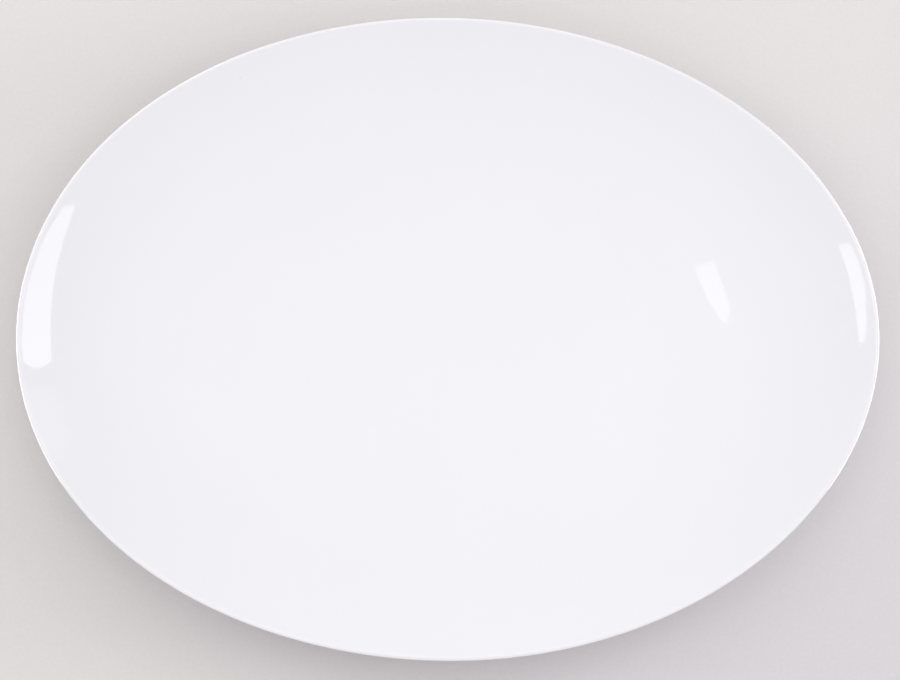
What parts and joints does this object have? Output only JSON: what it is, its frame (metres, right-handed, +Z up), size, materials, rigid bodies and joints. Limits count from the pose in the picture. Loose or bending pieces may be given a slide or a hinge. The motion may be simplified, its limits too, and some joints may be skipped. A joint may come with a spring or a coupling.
{
  "type": "oval serving platter",
  "caption": "Rimless oval coupe platter in gloss-glazed white porcelain, with a flat well, a wall that sweeps up to a thin round lip, and a foot ring left bare to stand on.",
  "frame": {"origin": "centre of the plane that the foot ring stands on", "axes": "+Z up out of the well, +X along the platter's length, +Y across it"},
  "size_m": [0.356, 0.274, 0.032],
  "materials": {
    "bare_porcelain": "unglazed fired porcelain, matte and fine-grained",
    "white_glaze": "white high-gloss glaze, plain, with no decoration"
  },
  "bodies": {
    "root": {"porcelain_body": "bare_porcelain", "main_glaze": "white_glaze", "recess_glaze": "white_glaze"}
  },
  "joints": []
}
